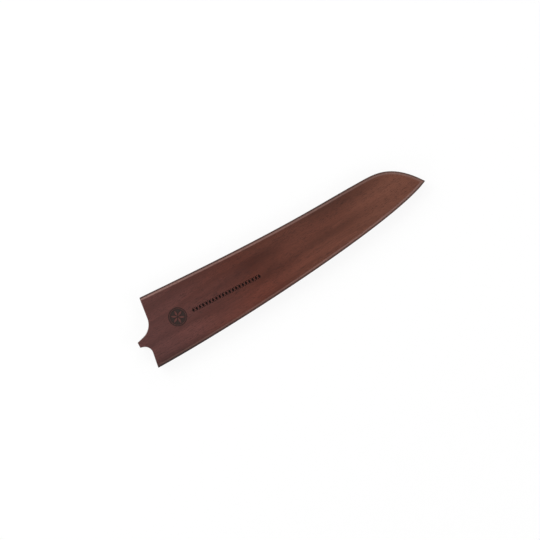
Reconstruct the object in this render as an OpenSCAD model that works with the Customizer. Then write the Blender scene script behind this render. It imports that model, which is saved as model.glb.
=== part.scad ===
// Wooden blade guard for a chef's knife.
// Two walnut panels are glued over three spacer rails, so that a blade slides into the
// slot between them. Wool felt lines both inner faces and hides magnets that hold the blade.
// +X runs from the mouth to the toe, +Y to the spine and +Z out of the front face.
// The origin is under the middle of the guard, on its back face. Sizes are in millimetres.

/* [Outline] */
// Length from the tongue's end to the toe
guard_length = 271; // [240:1:320]
// Width across the mouth, from the belly's corner to the spine's
guard_width = 58; // [52:0.5:70]
// Height of the toe above the middle of the guard
toe_rise = 0; // [-5:0.5:5]
// Distance from the toe back to the crown, where the spine starts to turn down
crown_setback = 44.5; // [36:0.5:60]
// Drop from the spine's corner to the crown
crown_drop = 3.7; // [1:0.1:7]
// Angle at which the spine falls away from the mouth
spine_fall = 3.1; // [1:0.1:5]
// Angle at which the nose comes down to the toe
nose_angle = 56; // [48:1:64]
// Angle at which the belly comes up to the toe
belly_rise = 25.5; // [18:0.5:32]

/* [Mouth] */
// Distance from the tongue's end back to the spine's corner
spine_corner_setback = 19; // [16:0.5:24]
// Distance from the tongue's end back to the belly's corner
belly_corner_setback = 5; // [3:0.5:8]
// Lean of the mouth edge on the spine's side
spine_mouth_lean = 7.5; // [4:0.5:12]
// Lean of the mouth edge on the belly's side
belly_mouth_lean = 10; // [6:0.5:14]
// Width of the tongue at its end
tongue_width = 4.7; // [4:0.1:7]
// Drop of the tongue below the middle of the guard
tongue_drop = 5.1; // [2:0.1:8]
// Flare of each of the tongue's edges
tongue_flare = 15; // [8:1:20]
// Radius of the notch between the tongue and the spine's side
spine_notch_radius = 14.5; // [10:0.5:18]
// Radius of the notch between the tongue and the belly's side
belly_notch_radius = 7; // [4:0.5:9]

/* [Panels] */
// Thickness of each panel
panel_thickness = 4.2; // [3.6:0.1:6]
// Width of the chamfer along the spine, nose and belly
chamfer_width = 2; // [1:0.1:3]
// Width of the chamfer round the mouth and tongue
mouth_chamfer_width = 0.5; // [0.2:0.1:1]
// Depth of the chamfers, through the panel's thickness
chamfer_depth = 1.5; // [0.6:0.1:2.4]

/* [Rails] */
// Height of the rails, which sets the gap between the panels
rail_height = 5.2; // [4.8:0.1:8]
// Width of the rail along the spine, at its ends
spine_rail_width = 5; // [3:0.5:8]
// Width of the rail round the nose, at its ends
nose_rail_width = 5; // [3:0.5:8]
// Width of the rail along the belly, beside the blade's edge, at its ends
belly_rail_width = 6; // [4:0.5:9]

/* [Liners] */
// Thickness of each felt liner
liner_thickness = 0.5; // [0.3:0.05:1]
// Gap between a liner and the rails round it
liner_clearance = 0.3; // [0.2:0.05:1]
// Distance that a liner stands back from the mouth's edge
liner_setback = 0.8; // [0.4:0.1:1.5]

/* [Magnets] */
// Diameter of a magnet
magnet_diameter = 8; // [5:0.5:10]
// Thickness of a magnet
magnet_thickness = 2; // [1:0.1:2.5]
// Number of magnets in each panel
magnet_count = 6; // [3:1:8]
// Distance from the spine's corner to the first magnet
first_magnet_inset = 22; // [14:1:30]
// Distance from the toe to the last magnet
last_magnet_inset = 36; // [28:1:50]
// Gap round a magnet in its pocket
pocket_clearance = 0.05; // [0.02:0.01:0.2]
// Depth of glue between a magnet and the liner
pocket_glue = 0.1; // [0.05:0.05:0.3]

/* [Hidden] */
MAGNETS = [1 : magnet_count];

WALNUT = "#5a3a30";
RAIL_WALNUT = "#4c3028";
FELT = "#3b3936";
NICKEL = "#c9c8c4";

// Levels, from the back face up
core_z = panel_thickness;
front_z = core_z + rail_height;

// Corners of the outline
toe = [guard_length / 2, toe_rise];
crown = [guard_length / 2 - crown_setback, guard_width / 2 - crown_drop];
spine_corner = [spine_corner_setback - guard_length / 2, guard_width / 2];
belly_corner = [belly_corner_setback - guard_length / 2, -guard_width / 2];
tongue_top = [-guard_length / 2, tongue_width / 2 - tongue_drop];
tongue_bottom = [-guard_length / 2, -tongue_width / 2 - tongue_drop];

// Headings of the edges, going anticlockwise round the outline
spine_mouth_heading = 270 - spine_mouth_lean;
tongue_top_heading = 180 + tongue_flare;
tongue_bottom_heading = 360 - tongue_flare;
belly_mouth_heading = 270 - belly_mouth_lean;

// How far each curve holds its heading at its start and its end, as a share of its chord
BELLY_PULL = [0.26, 0.155];
NOSE_PULL = [0.58, 0.26];
SPINE_PULL = [0.23, 0.675];

// Steps along each curve
BELLY_STEPS = 30;
NOSE_STEPS = 16;
SPINE_STEPS = 18;
NOTCH_STEPS = 8;

// Sides of a drawn circle, and how far a pocket's cutter reaches out of the face it opens
CIRCLE_SIDES = 48;
CUTTER_REACH = 1;
// How far the chamfers' cutter goes past the panel's face, in chamfer widths and depths
CHAMFER_OVERRUN = 0.25;

function direction(heading) = [cos(heading), sin(heading)];

// Smooth curve between two points that leaves and arrives at the headings given
function curve(start, end, leave, arrive, pull, steps) =
    let (
        chord = norm(end - start),
        lead = start + pull[0] * chord * direction(leave),
        trail = end - pull[1] * chord * direction(arrive)
    )
    [for (k = [0 : steps])
        let (u = k / steps, v = 1 - u)
        v * v * v * start + 3 * v * v * u * lead + 3 * v * u * u * trail + u * u * u * end];

// Point where a line through one point crosses a line through another
function crossing(a, heading_a, b, heading_b) =
    let (along = cross(b - a, direction(heading_b)) / cross(direction(heading_a), direction(heading_b)))
    a + along * direction(heading_a);

// Round of a corner that turns clockwise from one heading to another
function notch(corner, enter, leave, radius) =
    let (
        turn = enter - leave,
        centre = corner - radius * tan(turn / 2) * direction(enter) + radius * direction(enter - 90)
    )
    [for (k = [0 : NOTCH_STEPS]) centre + radius * direction(enter + 90 - turn * k / NOTCH_STEPS)];

// A list without its first entry
function rest(points) = [for (i = [1 : len(points) - 1]) points[i]];

// Closed line along the belly, nose and spine, through corners given in that order from the
// mouth, and then back through the mouth's points
function guard_line(corners, mouth) = concat(
    curve(corners[0], corners[1], 0, belly_rise, BELLY_PULL, BELLY_STEPS),
    rest(curve(corners[1], corners[2], 180 - nose_angle, 180, NOSE_PULL, NOSE_STEPS)),
    rest(curve(corners[2], corners[3], 180, 180 - spine_fall, SPINE_PULL, SPINE_STEPS)),
    mouth
);

spine_notch = notch(
    crossing(spine_corner, spine_mouth_heading, tongue_top, tongue_top_heading),
    spine_mouth_heading, tongue_top_heading, spine_notch_radius
);
belly_notch = notch(
    crossing(tongue_bottom, tongue_bottom_heading, belly_corner, belly_mouth_heading),
    tongue_bottom_heading, belly_mouth_heading, belly_notch_radius
);

outline = guard_line(
    [belly_corner, toe, crown, spine_corner],
    concat(spine_notch, [tongue_top, tongue_bottom], belly_notch)
);
toe_index = BELLY_STEPS;
crown_index = toe_index + NOSE_STEPS;
spine_end_index = crown_index + SPINE_STEPS;

// The entry of a list of four, for the belly, nose, spine and mouth, that an edge takes
function edge_entry(i, entries) =
    i < toe_index ? entries[0]
    : i < crown_index ? entries[1]
    : i < spine_end_index ? entries[2]
    : entries[3];

// Unit normal of an edge of the outline, pointing inwards
function edge_normal(i) =
    let (edge = outline[(i + 1) % len(outline)] - outline[i])
    [-edge[1], edge[0]] / norm(edge);

// Step that moves a corner inwards by its own distance from each of its two edges
function corner_step(before, after, d_before, d_after) =
    let (c = before * after)
    d_before == d_after || c > 0.98
        ? (before + after) * (d_before + d_after) / 2 / (1 + c)
        : (d_before * (before - c * after) + d_after * (after - c * before)) / (1 - c * c);

// The outline drawn in by a width for each of the belly, nose, spine and mouth
function drawn_in(widths) =
    [for (i = [0 : len(outline) - 1])
        let (previous = (i + len(outline) - 1) % len(outline))
        outline[i] + corner_step(
            edge_normal(previous), edge_normal(i), edge_entry(previous, widths), edge_entry(i, widths)
        )];

// The same, with the corners drawn in and fresh curves between them, for wide rails
function inner_line(widths) =
    let (line = drawn_in(widths))
    guard_line(
        [line[0], line[toe_index], line[crown_index], line[spine_end_index]],
        [for (i = [spine_end_index + 1 : len(line) - 1]) line[i]]
    );

rail_widths = [belly_rail_width, nose_rail_width, spine_rail_width, 0];
cavity = inner_line(rail_widths);
liner_outline = inner_line(rail_widths + [liner_clearance, liner_clearance, liner_clearance, liner_setback]);
chamfer_widths = [chamfer_width, chamfer_width, chamfer_width, mouth_chamfer_width];

// The cavity's lower and upper sides, each from left to right, as tables for lookup
cavity_floor = [for (i = [0 : toe_index]) cavity[i]];
cavity_roof = [for (i = [spine_end_index : -1 : toe_index]) cavity[i]];
function cavity_middle(x) = (lookup(x, cavity_floor) + lookup(x, cavity_roof)) / 2;

first_magnet_x = spine_corner[0] + first_magnet_inset;
last_magnet_x = toe[0] - last_magnet_inset;
function magnet_place(i) =
    let (x = first_magnet_x + (last_magnet_x - first_magnet_x) * (i - 1) / (magnet_count - 1))
    [x, cavity_middle(x)];

pocket_depth = magnet_thickness + pocket_glue;

// What the chamfers take off a panel: a closed ring with a three-cornered section, whose
// slanting side meets the panel's edge at the chamfer's depth and its face at the chamfer's width
module chamfer_cutter() {
    n = len(outline);
    low_z = panel_thickness - (2 + CHAMFER_OVERRUN) * chamfer_depth;
    high_z = panel_thickness + CHAMFER_OVERRUN * chamfer_depth;
    outside = drawn_in(-(1 + CHAMFER_OVERRUN) * chamfer_widths);
    inside = drawn_in((1 + CHAMFER_OVERRUN) * chamfer_widths);
    points = concat(
        [for (p = outside) [p[0], p[1], low_z]],
        [for (p = outside) [p[0], p[1], high_z]],
        [for (p = inside) [p[0], p[1], high_z]]
    );
    faces = [for (side = [0 : 2]) for (i = [0 : n - 1])
        let (from = side * n, to = (side + 1) % 3 * n, next = (i + 1) % n)
        [from + i, to + i, to + next, from + next]];
    polyhedron(points, faces);
}

// A panel with its inner face at z = 0 and its chamfered outer face upwards
module panel() {
    difference() {
        linear_extrude(panel_thickness) polygon(outline);
        chamfer_cutter();
        for (i = MAGNETS)
            translate([magnet_place(i)[0], magnet_place(i)[1], -CUTTER_REACH])
                cylinder(
                    h = pocket_depth + CUTTER_REACH,
                    d = magnet_diameter + 2 * pocket_clearance,
                    $fn = CIRCLE_SIDES
                );
    }
}

module front_panel() {
    color(WALNUT) translate([0, 0, front_z]) panel();
}

module back_panel() {
    color(WALNUT) translate([0, 0, core_z]) mirror([0, 0, 1]) panel();
}

// A rail between the outline and the cavity, from one corner of the outline to another
module rail(first, last) {
    outer = [for (i = [first : last]) outline[i]];
    inner = [for (i = [last : -1 : first]) cavity[i]];
    color(RAIL_WALNUT) translate([0, 0, core_z]) linear_extrude(rail_height) polygon(concat(outer, inner));
}

module belly_rail() {
    rail(0, toe_index);
}

module nose_rail() {
    rail(toe_index, crown_index);
}

module spine_rail() {
    rail(crown_index, spine_end_index);
}

module liner(z) {
    color(FELT) translate([0, 0, z]) linear_extrude(liner_thickness) polygon(liner_outline);
}

module front_liner() {
    liner(front_z - liner_thickness);
}

module back_liner() {
    liner(core_z);
}

module magnet(i, z) {
    color(NICKEL)
        translate([magnet_place(i)[0], magnet_place(i)[1], z])
            cylinder(h = magnet_thickness, d = magnet_diameter, $fn = CIRCLE_SIDES);
}

module front_magnet(i) {
    magnet(i, front_z + pocket_glue);
}

module back_magnet(i) {
    magnet(i, core_z - pocket_depth);
}

front_panel();
back_panel();
spine_rail();
nose_rail();
belly_rail();
front_liner();
back_liner();
for (i = MAGNETS) {
    front_magnet(i);
    back_magnet(i);
}
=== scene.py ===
"""Wooden blade guard for a chef's knife: two walnut panels glued over three spacer rails, with
felt liners and magnets inside. Lengths are in metres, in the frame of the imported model."""
import math

import bmesh
import bpy
import numpy as np
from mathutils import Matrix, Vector


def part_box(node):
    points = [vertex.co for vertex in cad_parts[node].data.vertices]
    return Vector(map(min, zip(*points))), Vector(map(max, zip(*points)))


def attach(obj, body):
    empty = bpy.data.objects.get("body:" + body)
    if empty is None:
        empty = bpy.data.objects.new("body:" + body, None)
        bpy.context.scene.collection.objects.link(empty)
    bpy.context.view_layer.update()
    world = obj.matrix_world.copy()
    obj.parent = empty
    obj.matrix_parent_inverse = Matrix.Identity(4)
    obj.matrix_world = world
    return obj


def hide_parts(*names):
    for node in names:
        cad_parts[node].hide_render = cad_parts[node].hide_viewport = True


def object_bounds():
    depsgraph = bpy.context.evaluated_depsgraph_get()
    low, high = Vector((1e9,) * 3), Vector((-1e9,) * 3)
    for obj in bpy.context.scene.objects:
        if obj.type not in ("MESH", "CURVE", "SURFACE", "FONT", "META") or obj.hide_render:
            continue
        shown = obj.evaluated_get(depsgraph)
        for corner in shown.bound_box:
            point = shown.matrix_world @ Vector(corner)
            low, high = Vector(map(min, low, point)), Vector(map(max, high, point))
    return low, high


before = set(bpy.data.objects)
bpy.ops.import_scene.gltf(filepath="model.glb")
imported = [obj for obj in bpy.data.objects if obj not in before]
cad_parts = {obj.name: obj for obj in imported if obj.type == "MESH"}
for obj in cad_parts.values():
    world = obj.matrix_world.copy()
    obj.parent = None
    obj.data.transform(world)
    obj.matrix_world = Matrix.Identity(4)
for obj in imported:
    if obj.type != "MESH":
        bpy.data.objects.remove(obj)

MM = 0.001
cad_low, cad_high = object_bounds()

# Camera and studio
# The guard lies on a white table and is seen from straight above through a long lens, turned as
# it is in the photograph. Four softboxes stand round it, the largest on its spine side.
PHOTO_PIXELS = 540
PIXEL = 0.82 * MM                        # a photograph's pixel, at the guard's outline
GUARD_TURN = math.radians(28.8)          # how far the guard is turned up to the right
VIEW_CENTRE = (-11.5 * MM, -2.7 * MM)    # the point of the guard under the camera
LENS = 85
SENSOR = 36
FILL_LIGHT = 0.2                         # plain light from all round
WHITE = (1, 1, 1, 1)


def in_scene(name, data):
    """A new object in the scene, on the origin."""
    made = bpy.data.objects.new(name, data)
    bpy.context.scene.collection.objects.link(made)
    return made


camera = in_scene("camera", bpy.data.cameras.new("camera"))
bpy.context.scene.camera = camera
camera.data.lens = LENS
camera.data.sensor_width = SENSOR
camera_height = PHOTO_PIXELS * PIXEL * LENS / SENSOR
camera.location = (VIEW_CENTRE[0], VIEW_CENTRE[1], cad_high.z + camera_height)
camera.rotation_euler = (0, 0, -GUARD_TURN)
bpy.context.scene.view_settings.view_transform = "Standard"


def softbox(name, place, size, radiance):
    """A flat lamp that faces the middle of the guard. Its place and size are in metres."""
    lamp = bpy.data.lights.new(name, "AREA")
    lamp.shape = "RECTANGLE"
    lamp.size, lamp.size_y = size
    lamp.energy = radiance * math.pi * size[0] * size[1]
    box = in_scene(name, lamp)
    box.location = place
    box.rotation_euler = (-Vector(place)).to_track_quat("-Z", "Y").to_euler()
    box.visible_camera = False


softbox("spine_softbox", (-0.48, 0.80, 0.82), (1.25, 0.90), 3.3)
softbox("nose_softbox", (0.75, 0.75, 0.60), (0.7, 0.6), 2.4)
softbox("toe_softbox", (0.62, -0.66, 0.74), (0.8, 0.7), 2.8)
softbox("mouth_softbox", (-0.95, -0.35, 0.62), (0.8, 0.6), 2.2)


def feed(tree, node, inputs):
    """Fills a node's inputs, given by name, or as a list in the order in which the node shows
    them. Each gets a value, a socket, or a node, which stands for the first output that it shows."""
    if isinstance(inputs, dict):
        given = [(node.inputs[name], value) for name, value in inputs.items()]
    else:
        given = zip([socket for socket in node.inputs if socket.enabled], inputs)
    for socket, value in given:
        if isinstance(value, bpy.types.Node):
            value = next(output for output in value.outputs if output.enabled)
        if isinstance(value, bpy.types.NodeSocket):
            tree.links.new(value, socket)
        else:
            socket.default_value = value


def add(tree, kind, inputs=(), stops=(), **settings):
    """Adds a node with its settings, its inputs, and the stops of its ramp, if it has one. A stop
    is a position with a colour or a grey level. The first stands at 0 and the last at 1."""
    node = tree.nodes.new(kind)
    for name, value in settings.items():
        setattr(node, name, value)
    for position, _ in stops[1:-1]:
        node.color_ramp.elements.new(position)
    for k, (_, colour) in enumerate(stops):
        if not isinstance(colour, tuple):
            colour = (colour, colour, colour, 1)
        node.color_ramp.elements[k].color = colour
    feed(tree, node, inputs)
    return node


studio = bpy.data.worlds.new("studio")
bpy.context.scene.world = studio
studio.use_nodes = True
sky = studio.node_tree.nodes["Background"]
feed(studio.node_tree, sky, {"Color": WHITE, "Strength": FILL_LIGHT})

# The table top runs up into a white wall all round. Both look white to the camera and in gloss,
# while a share of plain matte paint keeps the guard's shadow.
TABLE_RADIUS = 3.0
TABLE_GAP = 0.05 * MM
WALL_HEIGHT = 1.6
WALL_SIDES = 96
MATTE_SHARE = 0.12

backdrop_paint = bpy.data.materials.new("matte_white_backdrop")
backdrop_paint.use_nodes = True
tree = backdrop_paint.node_tree
tree.nodes.clear()
rays = add(tree, "ShaderNodeLightPath").outputs
seen = add(tree, "ShaderNodeMath", (rays["Is Camera Ray"], rays["Is Glossy Ray"]), operation="MAXIMUM")
seen = add(tree, "ShaderNodeMath", (seen, rays["Is Transmission Ray"]), operation="MAXIMUM")
glow_share = add(tree, "ShaderNodeMath", (seen, 1 - MATTE_SHARE), operation="MULTIPLY")
matte = add(tree, "ShaderNodeBsdfDiffuse", {"Color": WHITE})
glow = add(tree, "ShaderNodeEmission", {"Color": WHITE, "Strength": 1.0})
blend = add(tree, "ShaderNodeMixShader", (glow_share, matte, glow))
add(tree, "ShaderNodeOutputMaterial", {"Surface": blend})


def circle(radius, steps=32):
    """Points round a circle on the origin."""
    angles = [2 * math.pi * k / steps for k in range(steps)]
    return [(radius * math.cos(angle), radius * math.sin(angle)) for angle in angles]


rim = circle(TABLE_RADIUS, WALL_SIDES)
backdrop_points = [(x, y, z) for z in (cad_low.z - TABLE_GAP, WALL_HEIGHT) for x, y in rim]
backdrop_faces = [list(range(WALL_SIDES))]
for k in range(WALL_SIDES):
    ahead = (k + 1) % WALL_SIDES
    backdrop_faces.append([ahead, k, k + WALL_SIDES, ahead + WALL_SIDES])
backdrop_mesh = bpy.data.meshes.new("backdrop")
backdrop_mesh.from_pydata(backdrop_points, [], backdrop_faces)
backdrop_mesh.materials.append(backdrop_paint)
in_scene("backdrop", backdrop_mesh)

# Back panel
# A walnut board, planed flat and sawn to the blade's outline, then rounded over with a router and
# sanded. Its inner face is glued to the rails, and blind holes are bored in it for the magnets.
EDGE_WIDTH = 3.0 * MM                    # how far in the long edges are rounded
EDGE_DEPTH = 2.0 * MM                    # and how deep
EDGE_FULLNESS = 1.5                      # 2 is a quarter round, 1 a flat chamfer
ROUND_STEPS = 9
MOUTH_ROUND = 0.5 * MM                   # the mouth's edges, only eased with sandpaper
GLUED_EDGE = 0.14 * MM                   # the edge at the glue line
HALVINGS = 2                             # of each side of an outline, to smooth it
CORNER_TURN = math.radians(25)           # an outline that turns more than this has a corner
CORNER_RADIUS = 0.4 * MM
CORNER_SHARE = 0.45                      # the most of a side that a rounded corner takes
CORNER_STEPS = 4
CORNER_CLEARANCE = 1.15                  # beside a corner, in units of how far the corner moves in
NEARLY_STRAIGHT = 0.98                   # the cosine of a turn of 11.5 degrees
SMOOTH_ANGLE = math.radians(32)
LEVEL_FACE = 0.9995                      # how upright a level face's normal is
CUTTER_PAST = 0.5 * MM                   # how far a borer stands out of its hole
SAME_PLACE = 1e-6
core_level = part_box("spine_rail")[0].z
front_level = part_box("spine_rail")[1].z


def enclosed_area(line):
    """The area inside a closed line, less than nothing if it runs clockwise."""
    x, y = line[:, 0], line[:, 1]
    return (x * np.roll(y, -1) - np.roll(x, -1) * y).sum() / 2


def lines_at(name, level):
    """The closed lines round a CAD node's flat face at a level, anticlockwise, the largest first."""
    mesh = bmesh.new()
    mesh.from_mesh(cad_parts[name].data)
    bmesh.ops.remove_doubles(mesh, verts=mesh.verts, dist=SAME_PLACE)
    mesh.faces.index_update()
    flat = [all(abs(v.co.z - level) < SAME_PLACE for v in face.verts) for face in mesh.faces]
    following = {}
    for face in mesh.faces:
        if not flat[face.index]:
            continue
        for loop in face.loops:
            if sum(flat[other.index] for other in loop.edge.link_faces) == 1:
                following[loop.vert] = loop.link_loop_next.vert
    lines = []
    while following:
        start, vert = next(iter(following.items()))
        line = [start.co.xy[:]]
        del following[start]
        while vert != start:
            line.append(vert.co.xy[:])
            vert = following.pop(vert)
        line = np.array(line)
        if enclosed_area(line) < 0:
            line = line[::-1]
        lines.append(np.roll(line, -line[:, 0].argmin(), axis=0))
    mesh.free()
    return sorted(lines, key=enclosed_area, reverse=True)


def turns(line):
    """How far a closed line turns to the left at each of its points."""
    before = line - np.roll(line, 1, axis=0)
    after = np.roll(line, -1, axis=0) - line
    return np.arctan2(before[:, 0] * after[:, 1] - before[:, 1] * after[:, 0], (before * after).sum(1))


def smoothed(line):
    """A closed line with points added along its sides, out on the curve that the turns at their
    ends make. The sides beside a corner stay straight."""
    for _ in range(HALVINGS):
        turn = turns(line)
        turn[np.abs(turn) > CORNER_TURN] = 0
        ahead = np.roll(turn, -1)
        bend = np.where(turn * ahead > 0, np.sign(turn) * np.minimum(np.abs(turn), np.abs(ahead)), 0)
        side = np.roll(line, -1, axis=0) - line
        rise = np.tan(bend / 4)[:, None] / 2 * np.stack([side[:, 1], -side[:, 0]], axis=1)
        line = np.stack([line, line + side / 2 + rise], axis=1).reshape(-1, 2)
    return line


def drawn_in(line, widths):
    """A closed line with each side moved inwards by its own width."""
    side = np.roll(line, -1, axis=0) - line
    normal = np.stack([-side[:, 1], side[:, 0]], axis=1) / np.linalg.norm(side, axis=1)[:, None]
    before = np.roll(normal, 1, axis=0)
    width, width_before = widths[:, None], np.roll(widths, 1)[:, None]
    cosine = (before * normal).sum(1)[:, None]
    straight = cosine > NEARLY_STRAIGHT
    on_straight = (before + normal) * (width + width_before) / 2 / (1 + cosine)
    at_turn = width_before * (before - cosine * normal) + width * (normal - cosine * before)
    return line + np.where(straight, on_straight, at_turn / np.where(straight, 1, 1 - cosine * cosine))


def cleared(line, widths):
    """A closed line and its widths, without the points that drawing it in would carry past a corner."""
    turn = turns(line)
    reach = np.linalg.norm(drawn_in(line, widths) - line, axis=1)
    stays = np.full(len(line), True)
    for corner in np.flatnonzero(turn > CORNER_TURN):
        away = np.linalg.norm(line - line[corner], axis=1)
        stays &= (away > CORNER_CLEARANCE * reach[corner]) | (np.abs(turn) > CORNER_TURN)
    return line[stays], widths[stays]


def rounded(line, corners):
    """A line with a small curve in place of each corner."""
    points = []
    for i, point in enumerate(line):
        if not corners[i]:
            points.append(point)
            continue
        to_last, to_next = line[i - 1] - point, line[(i + 1) % len(line)] - point
        to_last *= min(CORNER_SHARE, CORNER_RADIUS / np.linalg.norm(to_last))
        to_next *= min(CORNER_SHARE, CORNER_RADIUS / np.linalg.norm(to_next))
        for k in range(CORNER_STEPS + 1):
            u = k / CORNER_STEPS
            points.append(point + (1 - u) ** 2 * to_last + u**2 * to_next)
    return np.array(points)


def solid_through(name, rings, levels, material):
    """A closed solid through rings of points at their levels, flat on its first and last rings."""
    count = len(rings[0])
    points = [(x, y, z) for ring, z in zip(rings, levels) for x, y in ring]
    faces = [list(range(count)), list(range(len(points) - count, len(points)))]
    for low in range(0, len(points) - count, count):
        for k in range(count):
            ahead = (k + 1) % count
            faces.append([low + k, low + ahead, low + ahead + count, low + k + count])
    mesh = bpy.data.meshes.new(name)
    mesh.from_pydata(points, [], faces)
    facing = bmesh.new()
    facing.from_mesh(mesh)
    bmesh.ops.recalc_face_normals(facing, faces=facing.faces)
    facing.to_mesh(mesh)
    facing.free()
    mesh.materials.append(material)
    return in_scene(name, mesh)


def block(name, outline, low, high, material):
    """An upright block on an outline."""
    return solid_through(name, [outline, outline], [low, high], material)


def settled(piece, *spare):
    """Replaces a piece's mesh by what its modifiers make of it, removes the spare objects, and
    shades rounds smooth and flats flat."""
    graph = bpy.context.evaluated_depsgraph_get()
    mesh = bpy.data.meshes.new_from_object(piece.evaluated_get(graph))
    piece.modifiers.clear()
    piece.data = mesh
    for other in spare:
        bpy.data.objects.remove(other)
    mesh.set_sharp_from_angle(angle=SMOOTH_ANGLE)
    for face in mesh.polygons:
        face.use_smooth = abs(face.normal.z) < LEVEL_FACE
    return piece


def stamped(name, places, blank, finish):
    """Copies a blank to places in space, as one plain mesh. The blank is used up."""
    tree = bpy.data.node_groups.new(name + "_copies", "GeometryNodeTree")
    face = tree.interface
    face.new_socket("Places", in_out="INPUT", socket_type="NodeSocketGeometry")
    blank_input = face.new_socket("Blank", in_out="INPUT", socket_type="NodeSocketObject").identifier
    finish_input = face.new_socket("Finish", in_out="INPUT", socket_type="NodeSocketMaterial").identifier
    face.new_socket("Copies", in_out="OUTPUT", socket_type="NodeSocketGeometry")
    given = add(tree, "NodeGroupInput").outputs
    shape = add(tree, "GeometryNodeObjectInfo", {"Object": given["Blank"]}).outputs["Geometry"]
    copies = add(tree, "GeometryNodeInstanceOnPoints", {"Points": given["Places"], "Instance": shape})
    real = add(tree, "GeometryNodeRealizeInstances", {"Geometry": copies})
    dressed = add(tree, "GeometryNodeSetMaterial", {"Geometry": real, "Material": given["Finish"]})
    add(tree, "NodeGroupOutput", {"Copies": dressed})
    mesh = bpy.data.meshes.new(name)
    mesh.from_pydata(places, [], [])
    piece = in_scene(name, mesh)
    copier = piece.modifiers.new("copies", "NODES")
    copier.node_group = tree
    copier[blank_input] = blank
    copier[finish_input] = finish
    return settled(piece, blank)


def eased(edge):
    """An edge broken with sandpaper: heights up from the face, each with how far in it is there."""
    return [(0, edge), (0.3 * edge, 0.3 * edge), (edge, 0)]


def panel_section(thickness):
    """A panel's edge from the inner face up: heights, each with how far in the long edges are
    there, and how far in the mouth is."""
    section = [(height, inset, inset) for height, inset in eased(GLUED_EDGE)]
    for k in range(ROUND_STEPS + 1):
        angle = math.pi / 2 * k / ROUND_STEPS
        below = EDGE_DEPTH * (1 - math.sin(angle) ** (2 / EDGE_FULLNESS))
        at_edge = EDGE_WIDTH * (1 - max(0, math.cos(angle)) ** (2 / EDGE_FULLNESS))
        share = max(0, 1 - below / MOUTH_ROUND)
        section.append((thickness - below, at_edge, MOUTH_ROUND * (1 - math.sqrt(1 - share**2))))
    return section


def mouth_sides(line, face_line):
    """Which sides of an outline are the mouth's, where the CAD's outer face is hardly drawn in."""
    middles = (line + np.roll(line, -1, axis=0)) / 2
    sides = np.roll(face_line, -1, axis=0) - face_line
    ways = face_line[None] - middles[:, None]
    along = np.clip(-(ways * sides).sum(2) / (sides**2).sum(1), 0, 1)[..., None]
    drawn = np.linalg.norm(ways + along * sides, axis=2).min(1)
    return drawn < drawn.max() / 2


def board(name, inner_level, outer_level, material):
    """A panel with the CAD outline, rounded over on its outer face, and the outlines of the CAD's
    blind holes."""
    line, *holes = lines_at(name, inner_level)
    line = smoothed(line)
    mouth = mouth_sides(line, lines_at(name, outer_level)[0])
    line, widths = cleared(line, np.where(mouth, MOUTH_ROUND, EDGE_WIDTH))
    mouth = widths == MOUTH_ROUND
    corners = np.abs(turns(line)) > CORNER_TURN
    outward = 1 if outer_level > inner_level else -1
    rings = []
    levels = []
    for height, at_edge, at_mouth in panel_section(abs(outer_level - inner_level)):
        rings.append(rounded(drawn_in(line, np.where(mouth, at_mouth, at_edge)), corners))
        levels.append(inner_level + outward * height)
    return solid_through(name + "_board", rings, levels, material), holes


# Its wood is black walnut, hand-rubbed with oil, and so is that of the other panel and the rails:
# a purplish brown with growth rings, soft darker bands and open pores, and a low satin sheen. The
# round is painted pale, partly as edges rubbed through to paler wood and partly as a painted
# highlight. The sawn sides and the steep part of the round are painted dark, partly as a duller saw
# cut and partly as painted shade along the outline.
RING_SPACING = 3.4 * MM
GLUE_LINE = 0.25 * MM
# Painted highlight: the round's pale colour is painted brighter towards the spine's corner of the mouth and
# the belly's corner of the toe, where the lamps light it, and darker towards the other two corners
CORNER_HIGHLIGHT = 0.4 / (110 * MM * 27 * MM)   # 0.4 paler at the spine's corner of the mouth
RUBBED_AND_HIGHLIGHT_COLOUR = "#86635a"
PORE_COLOUR = "#1c0b08"


def linear(colour):
    """A colour written as sRGB hex, as the shaders need it."""
    parts = [int(colour[i : i + 2], 16) / 255 for i in (1, 3, 5)]
    return tuple(c / 12.92 if c <= 0.04045 else ((c + 0.055) / 1.055) ** 2.4 for c in parts) + (1.0,)


def new_material(name):
    """A material, with its node tree and its main shader."""
    material = bpy.data.materials.new(name)
    material.use_nodes = True
    return material, material.node_tree, material.node_tree.nodes["Principled BSDF"]


def marks(tree, grain, length, width, detail, rough=0.5):
    """A noise of marks along the grain, about as long and wide as this in millimetres."""
    scale = (1 / (length * MM), 1 / (width * MM), 1 / (width * MM))
    cells = add(tree, "ShaderNodeMapping", {"Vector": grain, "Scale": scale})
    noise = {"Vector": cells, "Scale": 1.0, "Detail": detail, "Roughness": rough}
    return add(tree, "ShaderNodeTexNoise", noise)


def wandering(tree, grain):
    """Where the grain runs, pushed about by slow sways and quicker wavers, and the wavers alone."""
    sway = marks(tree, grain, 200, 45, 2.0).outputs["Color"]
    sway = add(tree, "ShaderNodeVectorMath", (sway, 16 * MM), operation="SCALE")
    waver = marks(tree, grain, 40, 7, 2.0).outputs["Color"]
    waver = add(tree, "ShaderNodeVectorMath", (waver, 2.2 * MM), operation="SCALE")
    swayed = add(tree, "ShaderNodeVectorMath", (grain, sway), operation="ADD")
    return add(tree, "ShaderNodeVectorMath", (swayed, waver), operation="ADD"), waver


def late_wood(tree, log, heart):
    """How much of the dark late wood shows, in growth rings round the heart of the log."""
    from_heart = add(tree, "ShaderNodeVectorMath", (log, heart), operation="SUBTRACT")
    across = add(tree, "ShaderNodeVectorMath", (from_heart, (0, 1, 1)), operation="MULTIPLY")
    radius = add(tree, "ShaderNodeVectorMath", (across,), operation="LENGTH")
    rings = add(tree, "ShaderNodeMath", (radius, RING_SPACING), operation="DIVIDE")
    ring = add(tree, "ShaderNodeMath", (rings,), operation="FRACT")
    growth = ((0, 0.1), (0.5, 0.35), (0.84, 1.0), (0.94, 0.8), (1, 0.1))
    return add(tree, "ShaderNodeValToRGB", (ring,), stops=growth)


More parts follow.
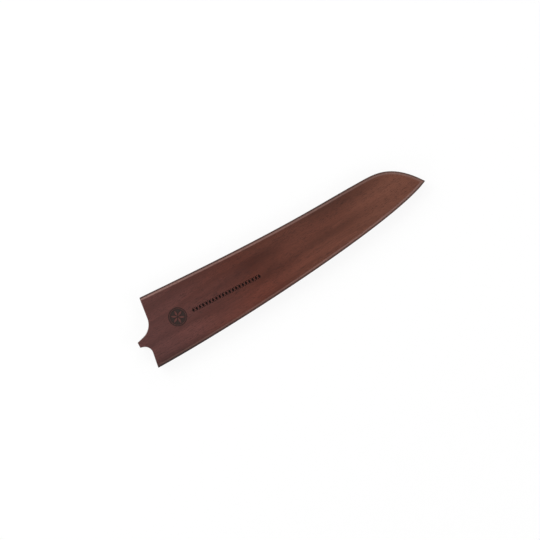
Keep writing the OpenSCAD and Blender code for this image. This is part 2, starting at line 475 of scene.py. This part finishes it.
def open_pores(tree, grain, late):
    """Long pores and short ones, crowded together in the early wood. They are drawn as wide as the
    widest real ones, about 0.2 mm, so that they show."""
    crowd = add(tree, "ShaderNodeMath", (marks(tree, grain, 30, 3.5, 2.0), 0.12), operation="MULTIPLY")
    crowd = add(tree, "ShaderNodeMath", (late, -0.07, crowd), operation="MULTIPLY_ADD")
    long_ones = add(tree, "ShaderNodeMath", (crowd, marks(tree, grain, 8, 0.2, 1.0)), operation="ADD")
    long_ones = add(tree, "ShaderNodeMapRange", (long_ones, 0.66, 0.72))
    short_ones = add(tree, "ShaderNodeMath", (crowd, marks(tree, grain, 2.5, 0.13, 0.0)), operation="ADD")
    short_ones = add(tree, "ShaderNodeMapRange", (short_ones, 0.70, 0.76))
    return add(tree, "ShaderNodeMath", (long_ones, short_ones), operation="MAXIMUM")


def darkened(tree, tone, place, streak, patches):
    """A tone that is darker in soft patches along the grain, with ragged sides and ends."""
    for x, y, half_length, half_width, tilt, darker in patches:
        size = (half_length * MM, half_width * MM, 1.0)
        patch = (place, (x * MM, y * MM, 0), (0, 0, math.radians(tilt)), size)
        from_middle = add(tree, "ShaderNodeMapping", patch, vector_type="TEXTURE")
        flat = add(tree, "ShaderNodeVectorMath", (from_middle, (1, 1, 0)), operation="MULTIPLY")
        away = add(tree, "ShaderNodeVectorMath", (flat,), operation="LENGTH")
        ragged = add(tree, "ShaderNodeMath", (streak, 0.35, away), operation="MULTIPLY_ADD")
        share = add(tree, "ShaderNodeMapRange", (ragged, 0.3, 1.3, 1.0, 0.0), interpolation_type="SMOOTHSTEP")
        shade = add(tree, "ShaderNodeMath", (share, -darker, 1.0), operation="MULTIPLY_ADD")
        tone = add(tree, "ShaderNodeMath", (tone, shade), operation="MULTIPLY")
    return tone


def saw_cut_and_shade(tree, tone, spot, facing, upright):
    """A tone that is dark on the sawn sides and darker still on the steep part of the round, partly
    a duller saw cut and partly painted shade along the guard's outline, darker on end grain, which
    drinks the most oil, and in the joints, where the glue has dried to a thin line."""
    # Painted shade: the sides, and most of all the steep part of the round, are painted darker to make the
    # dark outline round the guard, partly as a duller saw cut
    shade_up_the_side = ((0, 0.75), (0.5, 0.48), (0.80, 0.50), (0.90, 1.0), (1, 1.0))
    sawn = add(tree, "ShaderNodeValToRGB", (upright,), stops=shade_up_the_side)
    endways = add(tree, "ShaderNodeMath", (facing[0],), operation="ABSOLUTE")
    end_grain = add(tree, "ShaderNodeMapRange", (endways, 0.5, 1.0, 1.0, 0.85))
    away = []
    for joint_level in (core_level, front_level):
        above = add(tree, "ShaderNodeMath", (spot[2], joint_level), operation="SUBTRACT")
        away.append(add(tree, "ShaderNodeMath", (above,), operation="ABSOLUTE"))
    nearest = add(tree, "ShaderNodeMath", away, operation="MINIMUM")
    in_joint = add(tree, "ShaderNodeMapRange", (nearest, 0.4 * GLUE_LINE, GLUE_LINE, 1.0, 0.0))
    on_side = add(tree, "ShaderNodeMapRange", (upright, 0.8, 0.95, 1.0, 0.0))
    glue = add(tree, "ShaderNodeMath", (in_joint, on_side), operation="MULTIPLY")
    glue = add(tree, "ShaderNodeMath", (glue, -0.65, 1.0), operation="MULTIPLY_ADD")
    for shade in (sawn, end_grain, glue):
        tone = add(tree, "ShaderNodeMath", (tone, shade), operation="MULTIPLY")
    return tone


def rubbed_and_highlit(tree, colour, grain, spot, upright):
    """A colour with the round painted paler, partly rubbed through to paler wood and partly a painted
    highlight. The highlight is brightest on the spine by the mouth and on the belly by the toe, where
    the lamps light the round, and the round is painted darker at the other two corners."""
    over_the_round = ((0, 0.0), (0.80, 0.0), (0.90, 0.6), (0.955, 0.75), (0.985, 0.15), (1, 0.0))
    on_round = add(tree, "ShaderNodeValToRGB", (upright,), stops=over_the_round)
    uneven = add(tree, "ShaderNodeMapRange", (marks(tree, grain, 30, 8, 2.0), 0.3, 0.7, 0.7, 1.0))
    share = add(tree, "ShaderNodeMath", (on_round, uneven), operation="MULTIPLY")
    # Painted highlight and shade: paler towards two corners of the guard and darker towards the other two,
    # following the lamps
    corner = add(tree, "ShaderNodeMath", (spot[0], spot[1]), operation="MULTIPLY")
    highlit_corners = add(tree, "ShaderNodeMath", (corner, -CORNER_HIGHLIGHT, 1.0), operation="MULTIPLY_ADD")
    pale_and_highlit = add(tree, "ShaderNodeVectorMath", (linear(RUBBED_AND_HIGHLIGHT_COLOUR)[:3], highlit_corners), operation="SCALE")
    return add(tree, "ShaderNodeMix", (share, colour, pale_and_highlit), data_type="RGBA")


def walnut(name, colours, heart, shift, turn, patches=()):
    """Oiled walnut with three colours from the mouth to the toe. heart is where the middle of the
    log lies from the board, shift moves the patterns, and turn is the grain's, in degrees."""
    material, tree, surface = new_material(name)
    # Upright is 1 on a level face and 0 on a side
    place = add(tree, "ShaderNodeTexCoord").outputs
    spot = add(tree, "ShaderNodeSeparateXYZ", (place["Object"],)).outputs
    facing = add(tree, "ShaderNodeSeparateXYZ", (place["Normal"],)).outputs
    upright = add(tree, "ShaderNodeMath", (facing[2],), operation="ABSOLUTE")
    grain = add(tree, "ShaderNodeMapping", (place["Object"], shift, (0, 0, math.radians(turn))))

    # The tone is 1 in middling wood, and lower where it is darker
    log, waver = wandering(tree, grain)
    late = late_wood(tree, log, heart)
    figure = add(tree, "ShaderNodeMapRange", (marks(tree, grain, 160, 18, 3.0, 0.55), 0.3, 0.7))
    streak = add(tree, "ShaderNodeMapRange", (marks(tree, grain, 70, 0.9, 3.0, 0.6), 0.3, 0.7))
    pores = open_pores(tree, grain, late)
    tone = 1.24
    for share, darker in ((late, 0.24), (figure, 0.20), (streak, 0.14)):
        tone = add(tree, "ShaderNodeMath", (share, -darker, tone), operation="MULTIPLY_ADD")
    wavy = add(tree, "ShaderNodeVectorMath", (place["Object"], waver), operation="ADD")
    tone = darkened(tree, tone, wavy, streak, patches)
    tone = saw_cut_and_shade(tree, tone, spot, facing, upright)

    # The three colours, each toned, then painted pale on the round, partly rubbed through and partly
    # a painted highlight, and dark in the pores
    drift = marks(tree, grain, 90, 30, 2.0)
    drift = add(tree, "ShaderNodeMath", (drift, 120 * MM, spot[0]), operation="MULTIPLY_ADD")
    along = add(tree, "ShaderNodeMapRange", (drift, -70 * MM, 170 * MM))
    base = add(tree, "ShaderNodeValToRGB", (along,), stops=list(zip((0, 0.42, 1), map(linear, colours))))
    colour = add(tree, "ShaderNodeVectorMath", (base, tone), operation="SCALE")
    colour = rubbed_and_highlit(tree, colour, grain, spot, upright)
    pore_share = add(tree, "ShaderNodeMath", (pores, 0.7), operation="MULTIPLY")
    colour = add(tree, "ShaderNodeMix", (pore_share, colour, linear(PORE_COLOUR)), data_type="RGBA")

    # Satin on the faces, duller in the pores and on the sawn sides
    rough = add(tree, "ShaderNodeMapRange", (streak, 0.0, 1.0, 0.36, 0.44))
    rough = add(tree, "ShaderNodeMath", (pores, 0.04, rough), operation="MULTIPLY_ADD")
    sawn = add(tree, "ShaderNodeMapRange", (upright, 0.5, 0.85, 1.0, 0.0))
    rough = add(tree, "ShaderNodeMath", (sawn, 0.22, rough), operation="MULTIPLY_ADD")
    height = add(tree, "ShaderNodeMath", (pores, -1.0), operation="MULTIPLY")
    height = add(tree, "ShaderNodeMath", (streak, 0.25, height), operation="MULTIPLY_ADD")
    bump = add(tree, "ShaderNodeBump", {"Height": height, "Strength": 0.5, "Distance": 0.03 * MM})
    # Oil soaked into the wood reflects less than a film of lacquer on it
    finish = {"Base Color": colour, "Roughness": rough, "Specular IOR Level": 0.25, "Normal": bump}
    feed(tree, surface, finish)
    return material


back_walnut = walnut(
    "oiled_walnut_back",
    colours=("#4f2b25", "#50261b", "#5c3224"),
    heart=(0, 20 * MM, -55 * MM),
    shift=(310 * MM, 120 * MM, 400 * MM),
    turn=2.0,
)
back_panel, back_holes = board("back_panel", core_level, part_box("back_panel")[0].z, back_walnut)


def bored(piece, cutters):
    """Cuts the cutters out of a piece. The cut faces take the cutters' materials."""
    for cutter in cutters:
        cut = piece.modifiers.new("cut", "BOOLEAN")
        cut.operation = "DIFFERENCE"
        cut.solver = "EXACT"
        cut.material_mode = "TRANSFER"
        cut.object = cutter
    return settled(piece, *cutters)


def borer(name, holes, mouth_level, floor_level, material):
    """A cutter for blind holes at the CAD's places, that stands a little out of their mouths."""
    radius = np.linalg.norm(holes[0] - holes[0].mean(0), axis=1).max()
    depth = mouth_level - floor_level
    blank = block(name + "_blank", circle(radius), 0, depth + math.copysign(CUTTER_PAST, depth), material)
    return stamped(name, [(*hole.mean(0), floor_level) for hole in holes], blank, material)


back_borer = borer("back_borer", back_holes, core_level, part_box("back_magnet_1")[0].z, back_walnut)
back_panel = bored(back_panel, [back_borer])
back_panel.name = "back_panel_board"
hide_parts("back_panel")
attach(back_panel, "root")

# Front panel
# The board that shows in the photograph, with darker heartwood bands through its middle. A round
# medallion and a row of lozenges and dots are burnt into it with a laser.
PATCHES = (
    # x, y, half length and half width in mm, tilt in degrees, how much darker
    (-14, 11.5, 48, 6.5, 8, 0.24),
    (-4, -4, 28, 6.5, 2, 0.24),
    (-62, 6, 26, 2.2, 3, 0.16),
    (40, 0, 42, 4.0, 3, 0.20),
    (62, 22, 56, 9, -1, 0.34),
    (-112, -29, 70, 9, 1, 0.52),
    (-40, -16, 100, 9, 6, -0.26),
    (-100, -14, 32, 5, 3, -0.16),
    (34, -9.5, 36, 4, 8, -0.14),
    (78, 8.5, 50, 5, 1, -0.12),
)
front_walnut = walnut(
    "oiled_walnut_front",
    colours=("#573532", "#572d23", "#6c4234"),
    heart=(0, 12 * MM, -60 * MM),
    shift=(0, 0, 0),
    turn=-3.5,
    patches=PATCHES,
)
face_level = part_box("front_panel")[1].z
front_panel, front_holes = board("front_panel", front_level, face_level, front_walnut)
front_borer = borer("front_borer", front_holes, front_level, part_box("front_magnet_1")[1].z, front_walnut)

BEAM_PASS = 0.2467 * MM                  # between the laser's passes
WAVE_RATE = 20 / (2 * math.pi)           # the wave texture's bands in a metre, at a scale of 1
ASH_SPECKS = 2.6 / MM                    # 2.6 to a millimetre


def scorched(name, char, ash):
    """Walnut burnt away with a laser: a dull char, with ash grey specks and the lines that the
    beam's passes leave."""
    material, tree, surface = new_material(name)
    place = add(tree, "ShaderNodeTexCoord").outputs["Object"]
    specks = add(tree, "ShaderNodeTexNoise", {"Vector": place, "Scale": ASH_SPECKS, "Detail": 2.0})
    lines = {"Vector": place, "Scale": 1 / (BEAM_PASS * WAVE_RATE), "Distortion": 1.5, "Detail": 1.0}
    passes = add(tree, "ShaderNodeTexWave", lines, bands_direction="Y").outputs["Fac"]
    ashen = add(tree, "ShaderNodeMath", (specks, passes), operation="MULTIPLY")
    colour = add(tree, "ShaderNodeMix", (ashen, linear(char), linear(ash)), data_type="RGBA")
    bump = add(tree, "ShaderNodeBump", {"Height": ashen, "Strength": 0.7, "Distance": 0.03 * MM})
    feed(tree, surface, {"Base Color": colour, "Roughness": 0.9, "Specular IOR Level": 0.15, "Normal": bump})
    return material


# The medallion is a round field, burnt away round six petals and a thin band
MEDALLION_PLACE = (-96.3 * MM, 0.1 * MM)
MEDALLION_RADIUS = 7.8 * MM
MEDALLION_DEPTH = 0.3 * MM
MEDALLION_STEPS = 64
BAND_INSIDE = 6.6 * MM                   # the band's radius
BAND_OUTSIDE = 7.0 * MM
PETALS = 6
PETAL_START = 0.5 * MM
PETAL_LENGTH = 5.4 * MM
PETAL_HALF_WIDTH = 0.85 * MM
PETAL_STEPS = 9                          # on each side of a petal
OVER = 0.4 * MM                          # how far a cutter stands out of the face

medallion_char = scorched("laser_burnt_walnut_medallion", "#2b211f", "#463935")


def medallion_cutter(name, points, below, above, angle=0.0):
    """A cutter from below the face to above it, on points about the medallion's middle, turned."""
    cos, sin = math.cos(angle), math.sin(angle)
    middle_x, middle_y = MEDALLION_PLACE
    outline = [(middle_x + x * cos - y * sin, middle_y + x * sin + y * cos) for x, y in points]
    return block(name, outline, face_level - below, face_level + above, medallion_char)


petal_line = []
for k in range(2 * PETAL_STEPS):
    out = 1 - abs(1 - k / PETAL_STEPS)
    across = -PETAL_HALF_WIDTH * math.sin(math.pi * k / PETAL_STEPS)
    petal_line.append((PETAL_START + out * PETAL_LENGTH, across))
petals = []
for k in range(PETALS):
    angle = (k + 0.5) * 2 * math.pi / PETALS
    petals.append(medallion_cutter(f"petal_{k}", petal_line, 2 * OVER, 2 * OVER, angle))
band_hole = medallion_cutter("band_hole", circle(BAND_INSIDE, MEDALLION_STEPS), 3 * OVER, 3 * OVER)
band = medallion_cutter("band", circle(BAND_OUTSIDE, MEDALLION_STEPS), 2 * OVER, 2 * OVER)
field = medallion_cutter("field", circle(MEDALLION_RADIUS, MEDALLION_STEPS), MEDALLION_DEPTH, OVER)
field = bored(field, [*petals, bored(band, [band_hole])])

# The row has lozenge-shaped pits with sloping sides, and a pair of dots between each two of them
ROW_START = (-82.3 * MM, -1.25 * MM)
ROW_END = (-21.7 * MM, -2.95 * MM)
PITS = 21
PIT_HALF_LENGTH = 1.15 * MM
PIT_HALF_WIDTH = 1.95 * MM
PIT_DEPTH = 0.55 * MM
PIT_FLOOR = 0.04                         # the floor's share of the pit's size
PIT_OVER = 0.08 * MM                     # so little that the slopes of two cutters don't meet
DOT_RADIUS = 0.42 * MM
DOT_DEPTH = 0.35 * MM
DOT_SHOULDER = 0.6                       # of its radius and its depth
DOT_AWAY = 1.45 * MM                     # from the row's middle line

row_char = scorched("laser_burnt_walnut_row", "#100605", "#22110d")


def along_row(share):
    """A point on the row's middle line."""
    return tuple(start + (end - start) * share for start, end in zip(ROW_START, ROW_END)) + (face_level,)


def lozenge(size):
    """A lozenge's corners, at a size of 1 where the pit's cutter stands out of the face."""
    grown = size * (1 + PIT_OVER / PIT_DEPTH)
    length, width = grown * PIT_HALF_LENGTH, grown * PIT_HALF_WIDTH
    return [(length, 0), (0, width), (-length, 0), (0, -width)]


pit_blank = solid_through("pit_blank", [lozenge(1), lozenge(PIT_FLOOR)], [PIT_OVER, -PIT_DEPTH], row_char)
pits = stamped("row_pits", [along_row(k / (PITS - 1)) for k in range(PITS)], pit_blank, row_char)
dot_rings = [circle(DOT_RADIUS * share, 12) for share in (DOT_SHOULDER, 1, 1)]
dot_blank = solid_through("dot_blank", dot_rings, [-DOT_DEPTH, -DOT_SHOULDER * DOT_DEPTH, OVER], row_char)
dot_places = []
for k in range(PITS - 1):
    x, y, z = along_row((k + 0.5) / (PITS - 1))
    dot_places += [(x, y - DOT_AWAY, z), (x, y + DOT_AWAY, z)]
dots = stamped("row_dots", dot_places, dot_blank, row_char)

front_panel = bored(front_panel, [front_borer, field, pits, dots])
front_panel.name = "front_panel_board"
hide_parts("front_panel")
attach(front_panel, "root")

# Spine, nose and belly rails
# Three walnut strips between the panels, with the grain of each along it. They are sawn with the
# panels after the glue has set and sanded flush, so their edges are only broken.
RAIL_EDGE = 0.12 * MM
RAIL_COLOURS = ("#46251f", "#462118", "#532c20")


def eased_section(low, high, edge):
    """Levels from the bottom to the top of a piece with eased edges, and how far in each is."""
    bottom = [(low + height, inset) for height, inset in eased(edge)]
    top = [(high - height, inset) for height, inset in eased(edge)]
    return bottom + top[::-1]


def eased_slab(name, line, corners, low, high, edge, material):
    """A flat piece on an outline, with its upper and lower edges eased."""
    levels, insets = zip(*eased_section(low, high, edge))
    rings = [rounded(drawn_in(line, np.full(len(line), inset)), corners) for inset in insets]
    return settled(solid_through(name, rings, levels, material))


guard_line = lines_at("front_panel", front_level)[0]
guard_corners = guard_line[np.abs(turns(guard_line)) > CORNER_TURN]
for name, turn, shift, heart in (
    ("spine_rail", -0.5, (700 * MM, 300 * MM, 100 * MM), (0, 80 * MM, 20 * MM)),
    ("nose_rail", 38.0, (200 * MM, 900 * MM, 500 * MM), (0, 90 * MM, -20 * MM)),
    ("belly_rail", -8.0, (500 * MM, 600 * MM, 800 * MM), (0, -80 * MM, 30 * MM)),
):
    line = smoothed(lines_at(name, front_level)[0])
    line, _ = cleared(line, np.full(len(line), RAIL_EDGE))
    corners = np.linalg.norm(line[:, None] - guard_corners[None], axis=2).min(1) < SAME_PLACE
    wood = walnut("oiled_walnut_" + name, RAIL_COLOURS, heart, shift, turn)
    rail = eased_slab(name + "_strip", line, corners, core_level, front_level, RAIL_EDGE, wood)
    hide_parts(name)
    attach(rail, "root")

# Felt liners
# Two sheets of pressed charcoal wool felt, cut with a knife to the cavity's outline and glued to
# the panels' inner faces, so that the blade isn't scratched. Felt looks matte and clouded, with
# tangled fibres. They are drawn 0.16 mm wide, several times coarser than wool, so that they show.
FELT_EDGE = 0.18 * MM
FIBRE_SIZE = (4 * MM, 0.16 * MM, 0.16 * MM)
FIBRE_LIES = (15, 62, 105, 158)          # in degrees
FIBRE_BEND = 4 * MM
BENDS = 0.35 / MM                        # one in 3 mm
CLUMPS = 0.16 / MM                       # one in 6 mm

felt, tree, surface = new_material("pressed_charcoal_wool_felt")
place = add(tree, "ShaderNodeTexCoord").outputs["Object"]
swirl = add(tree, "ShaderNodeTexNoise", {"Vector": place, "Scale": BENDS, "Detail": 1.0}).outputs["Color"]
bent = add(tree, "ShaderNodeVectorMath", (swirl, (FIBRE_BEND,) * 3, place), operation="MULTIPLY_ADD")
fibres = 0.0
for lie in FIBRE_LIES:
    scale = [1 / size for size in FIBRE_SIZE]
    along = add(tree, "ShaderNodeMapping", (bent, (0, 0, 0), (0, 0, math.radians(lie)), scale))
    fibre = add(tree, "ShaderNodeTexNoise", {"Vector": along, "Scale": 1.0, "Detail": 1.0})
    fibres = add(tree, "ShaderNodeMath", (fibres, fibre), operation="MAXIMUM")
clumps = add(tree, "ShaderNodeTexNoise", {"Vector": place, "Scale": CLUMPS, "Detail": 2.0})
cloud = add(tree, "ShaderNodeMath", (clumps, 0.3, fibres), operation="MULTIPLY_ADD")
share = add(tree, "ShaderNodeMapRange", (cloud, 0.64, 0.88))
colour = add(tree, "ShaderNodeMix", (share, linear("#2c2a29"), linear("#5a5754")), data_type="RGBA")
bump = add(tree, "ShaderNodeBump", {"Height": fibres, "Strength": 0.8, "Distance": 0.3 * MM})
feed(tree, surface, {"Base Color": colour, "Roughness": 0.95, "Normal": bump})
feed(tree, surface, {"Sheen Weight": 0.4, "Sheen Roughness": 0.5})

for name, panel in (("back_liner", back_panel), ("front_liner", front_panel)):
    low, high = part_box(name)
    line = smoothed(lines_at(name, low.z)[0])
    line, _ = cleared(line, np.full(len(line), FELT_EDGE))
    corners = np.full(len(line), False)
    liner = eased_slab(name + "_felt", line, corners, low.z, high.z, FELT_EDGE, felt)
    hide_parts(name)
    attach(liner, "root")

# Magnets
# Small neodymium discs with a bright nickel plate, a little hazy from tumbling, glued into the
# panels' blind holes behind the felt. They hold the blade.
RIM = 0.25 * MM
HAZE = 0.7 / MM                          # one cloud in 1.4 mm

nickel, tree, surface = new_material("bright_nickel_plate")
place = add(tree, "ShaderNodeTexCoord").outputs["Object"]
haze = add(tree, "ShaderNodeTexNoise", {"Vector": place, "Scale": HAZE, "Detail": 3.0})
colour = add(tree, "ShaderNodeMix", (haze, linear("#b9b6ae"), linear("#d6d4cd")), data_type="RGBA")
rough = add(tree, "ShaderNodeMapRange", (haze, 0.0, 1.0, 0.12, 0.28))
feed(tree, surface, {"Base Color": colour, "Metallic": 1.0, "Roughness": rough})

for side, holes in (("back", back_holes), ("front", front_holes)):
    low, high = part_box(f"{side}_magnet_1")
    radius = (high.x - low.x) / 2
    levels, insets = zip(*eased_section(0, high.z - low.z, RIM))
    blank = solid_through("magnet_blank", [circle(radius - inset) for inset in insets], levels, nickel)
    magnets = stamped(f"{side}_magnets", [(*hole.mean(0), low.z) for hole in holes], blank, nickel)
    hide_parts(*(f"{side}_magnet_{k + 1}" for k in range(len(holes))))
    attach(magnets, "root")
